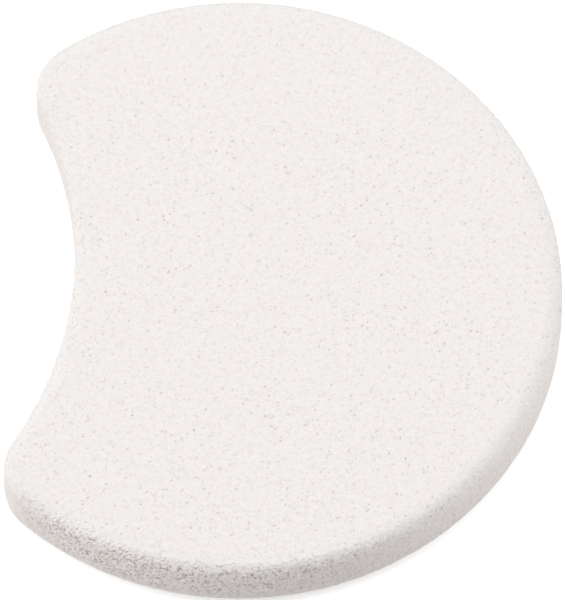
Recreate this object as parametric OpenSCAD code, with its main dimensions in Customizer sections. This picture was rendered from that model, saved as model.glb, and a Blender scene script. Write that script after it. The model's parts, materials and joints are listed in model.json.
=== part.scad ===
// Crescent nail buffer pad: a foam disc with a shallow round bite on one side.
// The pad is a laminate. A resilient core has a buffing face bonded to each side,
// and the stack is die-cut to one outline and ground round along both edges.
// The origin is the centre of the disc, on the underside. +Z is up, and the bite
// opens towards -X. All sizes are in millimetres.

/* [Outline] */
// Diameter of the disc that the pad is cut from
disc_d = 65; // [50:0.5:90]
// Radius of the bite
bite_r = 39.8; // [30:0.1:60]
// How far the bite reaches in from the disc's rim
bite_depth = 15.8; // [10:0.1:22]
// Radius of the two horn tips beside the bite
horn_r = 5.4; // [3.5:0.1:7.5]

/* [Section] */
// Thickness of the whole pad
pad_t = 7.3; // [6:0.1:16]
// Radius ground along the upper and lower edges, all the way round
edge_r = 1.8; // [0.8:0.1:3]
// How far that radius would stand above the flat face, where it breaks into it
edge_break = 0.05; // [0.05:0.05:0.3]
// Thickness of each buffing face
face_t = 1; // [0.5:0.1:1.6]
// Thickness of each bond film
film_t = 0.1; // [0.05:0.05:0.3]

/* [Hidden] */
$fn = 180;

// Colours of the off-white faces, of the core's ground edge and of the bond films
face_colour = "#f2eeec";
core_colour = "#e6e0dd";
film_colour = "#efe9df";

// How far a cutting shape runs past what it cuts
past = 1;
// How far a horn tip stands proud of the rim and of the bite, so that the three cross
// each other and don't merely touch
tip_proud = 0.01;

// The outline is four arcs that run smoothly into each other: the rim, a horn tip,
// the bite and the other horn tip. A tip's circle touches the rim from inside and
// the bite from outside, and these three distances place its centre.
disc_r = disc_d / 2;
disc_to_bite = disc_r - bite_depth + bite_r;
disc_to_horn = disc_r - horn_r;
bite_to_horn = bite_r + horn_r;
horn_back = (disc_to_horn ^ 2 + disc_to_bite ^ 2 - bite_to_horn ^ 2) / (2 * disc_to_bite);
horn_side = sqrt(disc_to_horn ^ 2 - horn_back ^ 2);
bite_centre = [-disc_to_bite, 0];
horn_centre = [-horn_back, horn_side];

// How deep the ground edge reaches below the face that it breaks into
ground_depth = edge_r - edge_break;

// Heights of the joints between the layers, from the underside up
lower_face_top = face_t;
lower_film_top = lower_face_top + film_t;
upper_film_top = pad_t - face_t;
core_top = upper_film_top - film_t;

// Section through the whole pad, from x = 0 out to an edge that is ground round
module edge_section(reach) {
    inner = reach - edge_r;
    intersection() {
        square([reach, pad_t]);
        union() {
            square([inner, pad_t]);
            translate([inner, ground_depth])
                square([edge_r, pad_t - 2 * ground_depth]);
            for (height = [ground_depth, pad_t - ground_depth])
                translate([inner, height])
                    circle(edge_r);
        }
    }
}

// The stretch of that section that lies in one layer
module layer_section(reach, low, high) {
    intersection() {
        edge_section(reach);
        translate([0, low])
            square([reach + past, high - low]);
    }
}

// What the bite takes away, from x = 0 at the bite's centre out to the pad's ground edge
module bite_section(low, high) {
    difference() {
        translate([0, low - past])
            square([bite_r + edge_r, high - low + 2 * past]);
        translate([bite_r + disc_r, 0])
            mirror([1, 0])
                edge_section(disc_r);
    }
}

// The spool-shaped cutter that opens the bite in a layer
module bite_cutter(low, high) {
    translate(bite_centre)
        rotate_extrude()
            bite_section(low, high);
}

// Prism that clears the sharp cusp between the rim and the bite, out beyond a horn tip's centre
module cusp_cutter(low, high) {
    translate([0, 0, low - past])
        linear_extrude(high - low + 2 * past)
            polygon([horn_centre, 2 * horn_centre, horn_centre + bite_centre, bite_centre]);
}

// The round horn tip that takes the cusp's place
module horn_tip(low, high) {
    translate(horn_centre)
        rotate_extrude()
            layer_section(horn_r + tip_proud, low, high);
}

// One layer of the pad between two heights
module layer(low, high) {
    difference() {
        rotate_extrude()
            layer_section(disc_r, low, high);
        bite_cutter(low, high);
        cusp_cutter(low, high);
        mirror([0, 1, 0])
            cusp_cutter(low, high);
    }
    horn_tip(low, high);
    mirror([0, 1, 0])
        horn_tip(low, high);
}

module upper_buffing_face() {
    color(face_colour)
        layer(upper_film_top, pad_t);
}

module upper_bond_film() {
    color(film_colour)
        layer(core_top, upper_film_top);
}

module foam_core() {
    color(core_colour)
        layer(lower_film_top, core_top);
}

module lower_bond_film() {
    color(film_colour)
        layer(lower_face_top, lower_film_top);
}

module lower_buffing_face() {
    color(face_colour)
        layer(0, lower_face_top);
}

upper_buffing_face();
upper_bond_film();
foam_core();
lower_bond_film();
lower_buffing_face();
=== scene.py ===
"""Dresses the crescent nail buffer pad, a laminated foam disc with a shallow round bite.

The pad is modelled in the order in which it is made. A blank is cut to the outline and its edges
are ground round, the foam gets its cells and torn grain, and the blank is then sliced into the
five layers of the laminate. The blank is in millimetres, and the finished layers are in metres.
"""

import json
import logging
import math
from dataclasses import dataclass
from enum import Enum
from typing import Any

import bmesh
import bpy
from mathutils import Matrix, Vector


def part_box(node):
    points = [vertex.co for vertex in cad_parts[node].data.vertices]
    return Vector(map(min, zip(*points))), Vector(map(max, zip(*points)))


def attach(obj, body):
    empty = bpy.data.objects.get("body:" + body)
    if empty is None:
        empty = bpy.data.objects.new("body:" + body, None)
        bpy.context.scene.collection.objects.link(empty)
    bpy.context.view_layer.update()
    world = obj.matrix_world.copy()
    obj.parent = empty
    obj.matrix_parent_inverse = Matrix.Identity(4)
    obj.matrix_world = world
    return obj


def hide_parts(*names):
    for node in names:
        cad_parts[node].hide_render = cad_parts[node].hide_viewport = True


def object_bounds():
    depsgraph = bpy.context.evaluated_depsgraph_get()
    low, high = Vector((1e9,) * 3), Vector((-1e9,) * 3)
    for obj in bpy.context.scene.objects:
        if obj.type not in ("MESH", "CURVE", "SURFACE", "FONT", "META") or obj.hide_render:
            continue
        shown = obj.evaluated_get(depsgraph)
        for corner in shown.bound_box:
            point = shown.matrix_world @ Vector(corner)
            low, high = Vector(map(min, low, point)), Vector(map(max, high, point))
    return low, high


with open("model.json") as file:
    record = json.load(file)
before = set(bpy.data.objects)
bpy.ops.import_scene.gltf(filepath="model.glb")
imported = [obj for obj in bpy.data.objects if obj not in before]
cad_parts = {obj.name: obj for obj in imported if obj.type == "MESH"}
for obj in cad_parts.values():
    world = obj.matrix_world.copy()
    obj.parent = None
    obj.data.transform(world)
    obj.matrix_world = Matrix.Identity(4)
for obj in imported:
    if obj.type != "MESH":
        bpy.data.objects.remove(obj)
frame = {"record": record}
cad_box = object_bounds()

log = logging.getLogger("buffer_pad")

MM = 0.001
BODY = "root"

# Average of a soft noise
NOISE_MEAN = 0.5
# Share of an open cell's radius that is its even floor
CELL_FLOOR = 0.25
# Where a smooth step starts, and where it ends
Span = tuple[float, float]
# What a node's socket is linked from
Source = bpy.types.Node | bpy.types.NodeSocket

# Kinds of node that are used throughout
MATHS = "ShaderNodeMath"
VECTOR = "ShaderNodeVectorMath"
AXES = "ShaderNodeSeparateXYZ"
RANGE = "ShaderNodeMapRange"
NOISE = "ShaderNodeTexNoise"
CELLS = "ShaderNodeTexVoronoi"
MIX = "ShaderNodeMix"
# Setting that makes a range a smooth step
SMOOTH = {"interpolation_type": "SMOOTHSTEP"}
# A mix's sockets for its two colours and for their blend, whose names other data types share
MIX_FIRST = 6
MIX_SECOND = 7
MIX_BLEND = 2

# Names of the mesh attributes that pass the worked areas of the foam on to its finish; the torn area
# also carries painted light on the shoulder, and the open pores painted shade
GROUND = "ground_edge"
WALL = "upright_wall"
TORN_AND_LIT = "torn_cells_and_lit_shoulder"
PORE_AND_SHADE = "open_pore_and_shade"


class Layer(Enum):
    """The pad's layers from the underside up, each named for the node that it stands for."""

    LOWER_FACE = "lower_buffing_face"
    LOWER_FILM = "lower_bond_film"
    CORE = "foam_core"
    UPPER_FILM = "upper_bond_film"
    UPPER_FACE = "upper_buffing_face"


def linear(hex_colour: str) -> tuple[float, float, float, float]:
    """Turns an sRGB colour into the linear values that a socket takes.

    Args:
        hex_colour: The colour as six hex digits after a hash sign.

    Returns:
        Linear red, green and blue, and an alpha of 1.
    """
    channels = [int(hex_colour[i:i + 2], 16) / 255 for i in (1, 3, 5)]
    return (*[c / 12.92 if c <= 0.04045 else ((c + 0.055) / 1.055) ** 2.4 for c in channels], 1.0)


def add_node(
    tree: bpy.types.NodeTree,
    kind: str,
    inputs: dict[str | int, Any] | tuple[Any, ...] = (),
    **settings: Any,
) -> bpy.types.Node:
    """Adds a node with its settings and fills its sockets.

    Args:
        tree: The node tree that gets the node.
        kind: The node's type name.
        inputs: What goes into the sockets, in their order or by their names or numbers. It is a
            plain value, the socket to link from, or the node whose first output to link from.
        settings: The node's own properties.

    Returns:
        The new node.
    """
    node = tree.nodes.new(kind)
    for name, value in settings.items():
        setattr(node, name, value)
    filled = inputs.items() if isinstance(inputs, dict) else enumerate(inputs)
    for key, value in filled:
        source = value.outputs[0] if isinstance(value, bpy.types.Node) else value
        if isinstance(source, bpy.types.NodeSocket):
            tree.links.new(source, node.inputs[key])
        else:
            node.inputs[key].default_value = source
    return node


def stirred(tree: bpy.types.NodeTree, place: Source, size: float, reach: float) -> bpy.types.Node:
    """Stirs a place with a soft noise, so that the cells taken there aren't round.

    Args:
        tree: The node tree that gets the nodes.
        place: The place to stir.
        size: How long the noise's waves are.
        reach: How far they move it.

    Returns:
        The node that gives the stirred place.
    """
    waves = add_node(tree, NOISE, {"Vector": place, "Scale": 1 / size, "Detail": 1.0})
    return add_node(
        tree, VECTOR, (waves.outputs["Color"], (reach, reach, reach), place), operation="MULTIPLY_ADD"
    )


def open_cells(
    tree: bpy.types.NodeTree, place: Source, spacing: float, radius: float
) -> bpy.types.Node:
    """Scatters open cells, a few of them wide open and most hardly.

    Args:
        tree: The node tree that gets the nodes.
        place: Where the cells are taken.
        spacing: How far apart they are.
        radius: How large they are.

    Returns:
        The node that gives how far the cell at that place is open.
    """
    cells = add_node(tree, CELLS, {"Vector": place, "Scale": 1 / spacing}).outputs
    rim = radius / spacing
    hollow = add_node(tree, RANGE, (cells["Distance"], rim, CELL_FLOOR * rim), **SMOOTH)
    chance = add_node(tree, AXES, {0: cells["Color"]})
    opened = add_node(tree, RANGE, {0: chance}, **SMOOTH)
    return add_node(tree, MATHS, (hollow, opened), operation="MULTIPLY")


def seen_directly(tree: bpy.types.NodeTree) -> bpy.types.Node:
    """Tells the rays of a view, also those by way of a gloss or a glass, from the rays that light.

    Args:
        tree: The node tree that gets the nodes.

    Returns:
        The node that gives 1 for a ray of a view and 0 for any other.
    """
    ray = add_node(tree, "ShaderNodeLightPath").outputs
    seen = add_node(tree, MATHS, (ray["Is Camera Ray"], ray["Is Glossy Ray"]), operation="MAXIMUM")
    return add_node(tree, MATHS, (seen, ray["Is Transmission Ray"]), operation="MAXIMUM")


@dataclass(frozen=True)
class Outline:
    """The pad's outline, four arcs that run smoothly into each other, in millimetres."""

    disc_r: float
    bite_r: float = 39.8
    bite_depth: float = 15.8
    horn_r: float = 5.4

    @property
    def bite_centre(self) -> Vector:
        """Centre of the bite's arc, beyond the rim."""
        return Vector((self.bite_depth - self.disc_r - self.bite_r, 0, 0))

    @property
    def horn_centre(self) -> Vector:
        """Centre of the horn tip at +Y, which touches the rim from inside and the bite from outside."""
        to_bite = self.bite_centre.length
        to_horn = self.disc_r - self.horn_r
        bite_to_horn = self.bite_r + self.horn_r
        back = (to_horn ** 2 + to_bite ** 2 - bite_to_horn ** 2) / (2 * to_bite)
        return Vector((-back, math.sqrt(to_horn ** 2 - back ** 2), 0))

    @property
    def start(self) -> Vector:
        """The point where the horn tip at -Y runs into the rim."""
        horn = self.horn_centre
        return Vector((horn.x, -horn.y, 0)).normalized() * self.disc_r

    def arcs(self) -> list[tuple[Vector, float, float]]:
        """Lists the arcs in order round the pad.

        Returns:
            For the rim, a tip, the bite and the other tip: centre, radius and the angle turned.
        """
        horn = self.horn_centre
        other_horn = Vector((horn.x, -horn.y, 0))
        rim = math.atan2(horn.y, horn.x)
        bite = math.atan2(horn.y, horn.x - self.bite_centre.x)
        tip = math.pi + bite - rim
        return [
            (Vector(), self.disc_r, 2 * rim),
            (horn, self.horn_r, tip),
            (self.bite_centre, self.bite_r, -2 * bite),
            (other_horn, self.horn_r, tip),
        ]


@dataclass(frozen=True)
class FoamRelief:
    """The foam's real relief, worked into the blank's mesh.

    Sizes and places are in millimetres. A slope is 1 on the flat faces and 0 on the upright wall.
    """

    skin_size: float = 1.1
    skin_depth: float = 0.035
    stir_size: float = 0.45
    stir_reach: float = 0.42
    pore_spacing: float = 0.52
    pore_r: float = 0.135
    pore_depth: float = 0.1
    grain_size: float = 0.42
    grain_depth: float = 0.19
    tear_size: float = 0.28
    tear_depth: float = 0.12
    tear_range: Span = (0.47, 0.28)
    tear_slope: Span = (0.94, 0.55)
    ground_slope: Span = (0.99, 0.9)
    wall_slope: Span = (0.8, 0.2)
    torn_rise: Span = (0.8, 3.2)
    torn_front: Span = (-6.0, -24.0)
    torn_right: Span = (26.0, 2.0)
    torn_left: Span = (-23.0, -15.0)
    torn_least: float = 0.15

    def press(self, blank: bpy.types.Object) -> None:
        """Works the relief into the blank.

        The flat faces are only pressed in, so that nothing stands above them.

        Args:
            blank: The ground blank, in millimetres.
        """
        modifier = blank.modifiers.new("foam_relief", "NODES")
        modifier.node_group = self.tree()
        bpy.context.view_layer.objects.active = blank
        bpy.ops.object.modifier_apply(modifier=modifier.name)

    def tree(self) -> bpy.types.NodeTree:
        """Lays out the geometry nodes that move each point along its normal.

        Returns:
            The node group, with one geometry in and one out.
        """
        tree = bpy.data.node_groups.new("foam_relief", "GeometryNodeTree")
        tree.interface.new_socket("Geometry", in_out="INPUT", socket_type="NodeSocketGeometry")
        tree.interface.new_socket("Geometry", in_out="OUTPUT", socket_type="NodeSocketGeometry")
        place = add_node(tree, "GeometryNodeInputPosition")
        normal = add_node(tree, "GeometryNodeInputNormal")
        upright = add_node(tree, AXES, {0: normal}).outputs["Z"]
        flat = add_node(tree, MATHS, {0: upright}, operation="ABSOLUTE")
        ground, wall, steep = (
            add_node(tree, RANGE, (flat, *slope), **SMOOTH)
            for slope in (self.ground_slope, self.wall_slope, self.tear_slope)
        )
        torn_and_lit = self.torn_and_lit(tree, place)

        uneven = stirred(tree, place, self.stir_size, self.stir_reach)
        pore_and_shade = open_cells(tree, uneven, self.pore_spacing, self.pore_r)
        waves = add_node(tree, NOISE, {"Vector": uneven, "Scale": 1 / self.tear_size, "Detail": 1.0})
        tear = add_node(tree, RANGE, (waves, *self.tear_range), **SMOOTH)
        share = add_node(tree, MATHS, (torn_and_lit, steep), operation="MULTIPLY")
        tear = add_node(tree, MATHS, (tear, share), operation="MULTIPLY")
        opened = add_node(tree, MATHS, (pore_and_shade, tear), operation="MAXIMUM")

        skin = add_node(tree, NOISE, {"Vector": place, "Scale": 1 / self.skin_size, "Detail": 2.0})
        waves = add_node(tree, NOISE, {"Vector": place, "Scale": 1 / self.grain_size, "Detail": 3.0})
        grain = add_node(tree, MATHS, (waves, NOISE_MEAN), operation="SUBTRACT")
        grain = add_node(tree, MATHS, (grain, ground), operation="MULTIPLY")
        depth = add_node(tree, MATHS, (skin, self.skin_depth), operation="MULTIPLY")
        hollows = ((pore_and_shade, self.pore_depth), (tear, self.tear_depth), (grain, self.grain_depth))
        for hollow, reach in hollows:
            depth = add_node(tree, MATHS, (hollow, reach, depth), operation="MULTIPLY_ADD")
        inward = add_node(tree, MATHS, (depth, -1.0), operation="MULTIPLY")
        shift = add_node(tree, VECTOR, {0: normal, "Scale": inward}, operation="SCALE")

        shape = add_node(tree, "NodeGroupInput")
        for name, value in ((GROUND, ground), (WALL, wall), (TORN_AND_LIT, torn_and_lit), (PORE_AND_SHADE, opened)):
            shape = add_node(
                tree, "GeometryNodeStoreNamedAttribute",
                {"Geometry": shape, "Name": name, "Value": value},
                data_type="FLOAT", domain="POINT",
            )
        moved = add_node(tree, "GeometryNodeSetPosition", {"Geometry": shape, "Offset": shift})
        add_node(tree, "NodeGroupOutput", {0: moved})
        return tree

    def torn_and_lit(self, tree: bpy.types.NodeTree, place: Source) -> bpy.types.Node:
        """Says where grinding tore the cells open, and where the finish paints light on the shoulder:
        above the lowest band, and most along the front.

        Args:
            tree: The node tree that gets the nodes.
            place: The point's place.

        Returns:
            The node that gives the share of torn cells.
        """
        x, y, z = add_node(tree, AXES, {0: place}).outputs
        raised = add_node(tree, RANGE, (z, *self.torn_rise), **SMOOTH)
        front = add_node(tree, RANGE, (y, *self.torn_front), **SMOOTH)
        right = add_node(tree, RANGE, (x, *self.torn_right), **SMOOTH)
        left = add_node(tree, RANGE, (x, *self.torn_left), **SMOOTH)
        share = add_node(tree, MATHS, (right, left), operation="MULTIPLY")
        share = add_node(tree, MATHS, (front, share), operation="MULTIPLY")
        least = self.torn_least
        share = add_node(tree, MATHS, (share, 1 - least, least), operation="MULTIPLY_ADD")
        return add_node(tree, MATHS, (raised, share), operation="MULTIPLY")


@dataclass(frozen=True)
class PadBlank:
    """The foam blank before it is sliced, in millimetres."""

    outline: Outline
    thickness: float
    relief: FoamRelief
    edge_r: float = 1.8
    edge_segments: int = 10
    arc_step: float = 0.4
    weld_reach: float = 0.04
    mesh_step: float = 0.13

    def build(self) -> bpy.types.Object:
        """Cuts the outline, grinds the edges and gives the foam its relief.

        Returns:
            The blank, lying on z = 0.
        """
        blank = self.cut()
        self.grind(blank)
        remesh = blank.modifiers.new("even_mesh", "REMESH")
        remesh.mode = "VOXEL"
        remesh.voxel_size = self.mesh_step
        bpy.ops.object.modifier_apply(modifier=remesh.name)
        self.relief.press(blank)
        return blank

    def cut(self) -> bpy.types.Object:
        """Draws the outline arc by arc and extrudes it.

        Returns:
            The sharp-edged blank, in edit mode.
        """
        bpy.ops.object.select_all(action="DESELECT")
        bpy.ops.mesh.primitive_plane_add(size=1)
        blank = bpy.context.object
        blank.name = "pad_blank"
        bpy.ops.object.mode_set(mode="EDIT")
        bpy.ops.mesh.merge(type="CENTER")
        bpy.ops.transform.translate(value=self.outline.start)
        # The spin turns clockwise about its axis, so the axis points down to turn it the other way
        for centre, radius, angle in self.outline.arcs():
            bpy.ops.mesh.spin(
                steps=math.ceil(abs(angle) * radius / self.arc_step),
                angle=angle,
                center=centre,
                axis=(0, 0, -1),
            )
        bpy.ops.mesh.select_all(action="SELECT")
        bpy.ops.mesh.remove_doubles(threshold=self.weld_reach)
        bpy.ops.mesh.edge_face_add()
        bpy.ops.mesh.extrude_region_move(TRANSFORM_OT_translate={"value": (0, 0, self.thickness)})
        return blank

    def grind(self, blank: bpy.types.Object) -> None:
        """Rounds both edges all the way round.

        Args:
            blank: The sharp-edged blank, in edit mode.
        """
        bpy.ops.mesh.select_mode(type="EDGE")
        mesh = bmesh.from_edit_mesh(blank.data)
        for edge in mesh.edges:
            edge.select_set(abs(edge.verts[0].co.z - edge.verts[1].co.z) < self.thickness / 2)
        mesh.select_flush_mode()
        bmesh.update_edit_mesh(blank.data)
        bpy.ops.mesh.bevel(
            offset=self.edge_r, segments=self.edge_segments, profile=0.5, clamp_overlap=False
        )
        bpy.ops.mesh.select_all(action="SELECT")
        bpy.ops.mesh.normals_make_consistent(inside=False)
        bpy.ops.object.mode_set(mode="OBJECT")


@dataclass(frozen=True)
class FoamFinish:
    """Fine-celled rubber foam, skived flat on its faces and ground along its edge.

    The skived cells make a matt off-white, mottled between a pinkish and a cooler tone, with small
    brownish pores, specks and creases that also carry painted shade and grow fainter towards the
    back. The ground shoulder loses the pink and is painted paler where its cells are torn, mostly
    along the front, as painted light, and whiter crumbs on the torn edge are painted highlights.
    The upright wall is a little browner. Sizes and places are in millimetres. A tone says how much
    of the darker colour a mark takes.
    """

    name: str
    warm: str = "#f6f0ef"
    cool: str = "#f5f4f3"
    shoulder: str = "#f2f1ee"
    painted_lit_shoulder: str = "#fdfbf9"
    wall: str = "#f6f1ee"
    crumb_highlight: str = "#fff9f6"
    pore_and_shade: str = "#884a48"
    grit: str = "#ba9693"
    mottle_size: float = 0.34
    mottle_range: Span = (0.33, 0.67)
    cloud_size: float = 0.46
    cloud_tone: float = 0.1
    grit_size: float = 0.14
    grit_tone: float = 0.17
    grit_range: Span = (0.42, 0.8)
    pore_tone: float = 0.5
    wall_pore_gain: float = 0.06
    speck_spacing: float = 0.36
    speck_r: float = 0.115
    speck_tone: float = 0.21
    speck_stir: float = 0.3
    back_to_front: Span = (32.0, 4.0)
    back_share: float = 0.65
    front_gain: float = 0.4
    crease_size: float = 1.8
    crease_width: float = 0.12
    crease_tone: float = 0.22
    crease_stir_size: float = 0.8
    crease_stir_reach: float = 1.2
    crease_gap: float = 0.7
    crease_range: Span = (0.62, 0.74)
    cell_size: float = 0.16
    cell_depth: float = 0.03
    shred_size: float = 0.3
    crumb_highlight_range: Span = (0.42, 0.6)
    shred_depth: float = 0.24
    roughness: float = 0.95
    specular: float = 0.15

    def material(self) -> bpy.types.Material:
        """Lays out the foam's shader.

        Returns:
            The new material.
        """
        material = bpy.data.materials.new(self.name)
        material.use_nodes = True
        tree = material.node_tree
        tree.nodes.clear()
        place = add_node(tree, "ShaderNodeTexCoord").outputs["Object"]
        place = add_node(tree, VECTOR, {0: place, "Scale": 1 / MM}, operation="SCALE")
        ground, wall, torn_and_lit, pore_and_shade = (
            add_node(tree, "ShaderNodeAttribute", attribute_name=name).outputs["Fac"]
            for name in (GROUND, WALL, TORN_AND_LIT, PORE_AND_SHADE)
        )
        # This noise marks the torn shreds, which give the bump and, through the whiter colour below,
        # painted highlights.
        shreds_and_highlight = add_node(tree, NOISE, {"Vector": place, "Scale": 1 / self.shred_size, "Detail": 2.0})
        shreds_and_highlight = add_node(tree, MATHS, (shreds_and_highlight, torn_and_lit), operation="MULTIPLY")
        shreds_and_highlight = add_node(tree, MATHS, (shreds_and_highlight, ground), operation="MULTIPLY")

        # The shoulder is painted paler where the torn mask is strong, mostly along the front: painted
        # light on the shoulder.
        shoulder = add_node(
            tree, MIX,
            {0: torn_and_lit, MIX_FIRST: linear(self.shoulder), MIX_SECOND: linear(self.painted_lit_shoulder)},
            data_type="RGBA",
        ).outputs[MIX_BLEND]
        mottle = add_node(tree, NOISE, {"Vector": place, "Scale": 1 / self.mottle_size, "Detail": 2.0})
        mottle = add_node(tree, RANGE, (mottle, *self.mottle_range), **SMOOTH)
        coats = [(mottle, linear(self.warm)), (ground, shoulder), (wall, linear(self.wall))]
        for size, tone in ((self.cloud_size, self.cloud_tone), (self.grit_size, self.grit_tone)):
            grit = add_node(tree, NOISE, {"Vector": place, "Scale": 1 / size, "Detail": 1.0})
            grit = add_node(tree, RANGE, (grit, *self.grit_range, 0.0, tone), **SMOOTH)
            coats.append((grit, linear(self.grit)))
        # Whiter crumbs on the torn edge are painted highlights that stand in for light catching them
        # from above.
        painted_crumb_highlight = add_node(tree, RANGE, (shreds_and_highlight, *self.crumb_highlight_range), **SMOOTH)
        coats.append((painted_crumb_highlight, linear(self.crumb_highlight)))
        # Pores, creases and specks take a brownish tone, partly their own colour and partly painted
        # shade.
        coats.append((self.darkness(tree, place, pore_and_shade, wall), linear(self.pore_and_shade)))
        colour = linear(self.cool)
        for amount, coat in coats:
            colour = add_node(
                tree, MIX, {0: amount, MIX_FIRST: colour, MIX_SECOND: coat}, data_type="RGBA"
            ).outputs[MIX_BLEND]

        cells = add_node(tree, NOISE, {"Vector": place, "Scale": 1 / self.cell_size, "Detail": 2.0})
        cells = add_node(tree, MATHS, (cells, self.cell_depth), operation="MULTIPLY")
        height = add_node(tree, MATHS, (shreds_and_highlight, self.shred_depth, cells), operation="MULTIPLY_ADD")
        bump = add_node(tree, "ShaderNodeBump", {"Height": height, "Distance": MM, "Strength": 1.0})
        shader = add_node(
            tree, "ShaderNodeBsdfPrincipled",
            {
                "Base Color": colour,
                "Normal": bump,
                "Roughness": self.roughness,
                "Specular IOR Level": self.specular,
            },
        )
        add_node(tree, "ShaderNodeOutputMaterial", {"Surface": shader})
        return material

    def darkness(
        self, tree: bpy.types.NodeTree, place: Source, pore_and_shade: Source, wall: Source
    ) -> bpy.types.Node:
        """Paints shade into the pores, the creases and fine specks, with a brownish tone of their own,
        and fades them towards the pad's back.

        Args:
            tree: The node tree that gets the nodes.
            place: The place in millimetres.
            pore_and_shade: How far the relief's pore or tear is open.
            wall: How upright the wall is.

        Returns:
            The node that gives how dark the place is.
        """
        tone = add_node(
            tree, MATHS, (wall, self.wall_pore_gain, self.pore_tone), operation="MULTIPLY_ADD"
        )
        dark = add_node(tree, MATHS, (pore_and_shade, tone), operation="MULTIPLY")
        dark = add_node(tree, MATHS, (dark, self.crease_shade(tree, place)), operation="MAXIMUM")
        uneven = stirred(tree, place, self.speck_stir, self.speck_stir)
        specks_and_shade = open_cells(tree, uneven, self.speck_spacing, self.speck_r)
        specks_and_shade = add_node(tree, MATHS, (specks_and_shade, self.speck_tone), operation="MULTIPLY")
        dark = add_node(tree, MATHS, (dark, specks_and_shade), operation="MAXIMUM")
        along = add_node(tree, AXES, {0: place}).outputs["Y"]
        near = add_node(tree, RANGE, (along, *self.back_to_front), **SMOOTH)
        share = add_node(
            tree, MATHS, (near, self.front_gain, self.back_share), operation="MULTIPLY_ADD"
        )
        return add_node(tree, MATHS, (dark, share), operation="MULTIPLY")

    def crease_shade(self, tree: bpy.types.NodeTree, place: Source) -> bpy.types.Node:
        """Paints shade as short creases along the borders of large cells, where a slow noise lets them
        show.

        Args:
            tree: The node tree that gets the nodes.
            place: The place in millimetres.

        Returns:
            The node that gives how dark the crease is.
        """
        uneven = stirred(tree, place, self.crease_stir_size, self.crease_stir_reach)
        border = add_node(
            tree, CELLS, {"Vector": uneven, "Scale": 1 / self.crease_size}, feature="DISTANCE_TO_EDGE"
        ).outputs["Distance"]
        half_width = self.crease_width / self.crease_size / 2
        line = add_node(tree, RANGE, (border, half_width, 0.0), **SMOOTH)
        gaps = add_node(tree, NOISE, {"Vector": place, "Scale": 1 / self.crease_gap, "Detail": 0.0})
        shown = add_node(tree, RANGE, (gaps, *self.crease_range, 0.0, self.crease_tone), **SMOOTH)
        return add_node(tree, MATHS, (line, shown), operation="MULTIPLY")


@dataclass(frozen=True)
class LaminatedPad:
    """The finished pad: its blank and the finishes of its layers."""

    blank: PadBlank
    face_finish: FoamFinish
    core_finish: FoamFinish
    film_finish: FoamFinish
    smooth_angle: float = math.radians(60)
    cut_margin: float = 0.01

    def build(self) -> list[bpy.types.Object]:
        """Makes the blank, slices it and dresses each layer.

        Returns:
            The layers from the underside up.
        """
        blank = self.blank.build()
        finishes = {
            "buffing_foam": self.face_finish.material(),
            "core_foam": self.core_finish.material(),
            "bond_film": self.film_finish.material(),
        }
        slots = {part["node"]: part["material_slot"] for part in frame["record"]["subparts"]}
        pieces = []
        for layer in Layer:
            piece = self.slice(blank, layer)
            slot = slots[layer.value]
            piece.data.materials.clear()
            piece.data.materials.append(finishes[slot])
            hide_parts(layer.value)
            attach(piece, BODY)
            pieces.append(piece)
            log.info("%s: %d faces", piece.name, len(piece.data.polygons))
        bpy.data.objects.remove(blank)
        return pieces

    def slice(self, blank: bpy.types.Object, layer: Layer) -> bpy.types.Object:
        """Cuts one layer out of a copy of the blank and brings it to metres.

        Args:
            blank: The blank with its relief, in millimetres.
            layer: The layer to cut.

        Returns:
            The closed layer, placed as its node is.
        """
        low, high = (corner.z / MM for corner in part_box(layer.value))
        bpy.ops.object.select_all(action="DESELECT")
        blank.select_set(True)
        bpy.context.view_layer.objects.active = blank
        bpy.ops.object.duplicate()
        piece = bpy.context.object
        ending = "edge" if "film" in layer.value else "foam"
        piece.name = f"{layer.value}_{ending}"
        bpy.ops.object.mode_set(mode="EDIT")
        for height, side in ((low, -1), (high, 1)):
            if self.cut_margin < height < self.blank.thickness - self.cut_margin:
                bpy.ops.mesh.select_all(action="SELECT")
                bpy.ops.mesh.bisect(
                    plane_co=(0, 0, height), plane_no=(0, 0, side), use_fill=True, clear_outer=True
                )
        bpy.ops.object.mode_set(mode="OBJECT")
        piece.scale = (MM, MM, MM)
        bpy.ops.object.transform_apply(scale=True)
        bpy.ops.object.shade_smooth_by_angle(angle=self.smooth_angle)
        return piece


@dataclass(frozen=True)
class SoftLamp:
    """A round soft lamp, by where it stands from the pad. Sizes are in metres, angles in degrees."""

    name: str
    bearing: float
    elevation: float
    radius: float
    share: float
    distance: float = 1.2

    def hang(self) -> None:
        """Hangs the lamp so that it faces the pad.

        Its share is what it adds to the light on a flat face, and its power follows from that.
        """
        bearing, elevation = math.radians(self.bearing), math.radians(self.elevation)
        aim = Vector((
            math.cos(bearing) * math.cos(elevation),
            math.sin(bearing) * math.cos(elevation),
            math.sin(elevation),
        ))
        bpy.ops.object.light_add(type="AREA", location=aim * self.distance)
        lamp = bpy.context.object
        lamp.name = self.name
        lamp.rotation_euler = aim.to_track_quat("Z", "Y").to_euler()
        lamp.data.shape = "DISK"
        lamp.data.size = 2 * self.radius
        spread = self.radius ** 2 / (self.radius ** 2 + self.distance ** 2)
        radiance = self.share / (spread * math.sin(elevation))
        lamp.data.energy = radiance * math.pi * math.pi * self.radius ** 2


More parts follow.
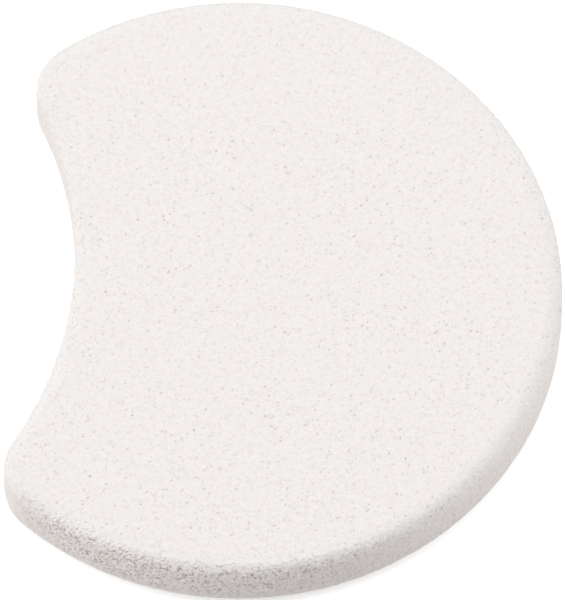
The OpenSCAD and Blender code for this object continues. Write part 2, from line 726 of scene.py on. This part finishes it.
@dataclass(frozen=True)
class Studio:
    """A pale floor, soft lamps at both sides and overhead, and a long lens.

    Sizes are in metres, and the sensor's is in millimetres.
    """

    image: tuple[int, int] = (565, 600)
    pixels_per_mm: float = 9.925
    disc_pixel: tuple[float, float] = (239.1, 315.0)
    turn: float = math.radians(4.04)
    elevation: float = math.radians(62.96)
    distance: float = 1.95
    sensor: float = 36.0
    clip_end: float = 20.0
    ambient: float = 0.34
    floor_size: float = 6.0
    floor_lift: float = 0.45
    paper: str = "#f4f4f4"
    lamps: tuple[SoftLamp, ...] = (
        SoftLamp("left softbox", bearing=189, elevation=20, radius=0.43, share=0.085),
        SoftLamp("right softbox", bearing=19, elevation=30, radius=0.485, share=0.165),
        SoftLamp("overhead softbox", bearing=154, elevation=70, radius=0.69, share=0.41),
    )

    def build(self) -> None:
        """Sets up the floor, the lamps, the world and the camera."""
        self.floor()
        for lamp in self.lamps:
            lamp.hang()
        self.world()
        self.camera()
        bpy.context.scene.view_settings.view_transform = "Standard"

    def floor(self) -> None:
        """Lays a matt pale floor that shows the pad's shadow on white."""
        bpy.ops.object.select_all(action="DESELECT")
        bpy.ops.mesh.primitive_plane_add(size=self.floor_size)
        floor = bpy.context.object
        floor.name = "floor"
        material = bpy.data.materials.new("matt white paper")
        material.use_nodes = True
        tree = material.node_tree
        tree.nodes.clear()
        paper = add_node(tree, "ShaderNodeBsdfDiffuse", {"Color": linear(self.paper)})
        lift = add_node(tree, MATHS, (seen_directly(tree), self.floor_lift), operation="MULTIPLY")
        glow = add_node(tree, "ShaderNodeEmission", {"Strength": lift})
        both = add_node(tree, "ShaderNodeAddShader", (paper, glow))
        add_node(tree, "ShaderNodeOutputMaterial", {"Surface": both})
        floor.data.materials.append(material)

    def world(self) -> None:
        """Gives a dim even fill, and white where a ray from the camera, a gloss or a glass goes by."""
        world = bpy.data.worlds.new("studio")
        bpy.context.scene.world = world
        world.use_nodes = True
        tree = world.node_tree
        tree.nodes.clear()
        strength = add_node(
            tree, RANGE, {"Value": seen_directly(tree), "To Min": self.ambient, "To Max": 1.0}
        )
        back = add_node(tree, "ShaderNodeBackground", {"Color": (1, 1, 1, 1), "Strength": strength})
        add_node(tree, "ShaderNodeOutputWorld", {"Surface": back})

    def camera(self) -> None:
        """Aims a long lens so that the disc's centre falls on its pixel of the frame."""
        width, height = self.image
        back = Vector((
            math.sin(self.turn) * math.cos(self.elevation),
            -math.cos(self.turn) * math.cos(self.elevation),
            math.sin(self.elevation),
        ))
        right = Vector((math.cos(self.turn), math.sin(self.turn), 0))
        up = back.cross(right)
        across = (width / 2 - self.disc_pixel[0]) / self.pixels_per_mm * MM
        rise = (self.disc_pixel[1] - height / 2) / self.pixels_per_mm * MM
        target = right * across + up * rise
        bpy.ops.object.camera_add(
            location=target + back * self.distance, rotation=back.to_track_quat("Z", "Y").to_euler()
        )
        camera = bpy.context.object
        camera.data.sensor_fit = "HORIZONTAL"
        camera.data.sensor_width = self.sensor
        camera.data.lens = self.sensor * self.distance * self.pixels_per_mm / (width * MM)
        camera.data.clip_end = self.clip_end
        bpy.context.scene.camera = camera


def main() -> None:
    """Builds the pad and its studio."""
    logging.basicConfig(level=logging.INFO, format="%(name)s: %(message)s")
    _, high = cad_box
    outline = Outline(disc_r=high[0] / MM)
    blank = PadBlank(outline=outline, thickness=high[2] / MM, relief=FoamRelief())
    pad = LaminatedPad(
        blank=blank,
        face_finish=FoamFinish(name="skived buffing foam"),
        core_finish=FoamFinish(name="ground core foam"),
        film_finish=FoamFinish(name="ground adhesive film"),
    )
    pieces = pad.build()
    log.info("%d layers", len(pieces))
    Studio().build()


if __name__ == "__main__":
    main()
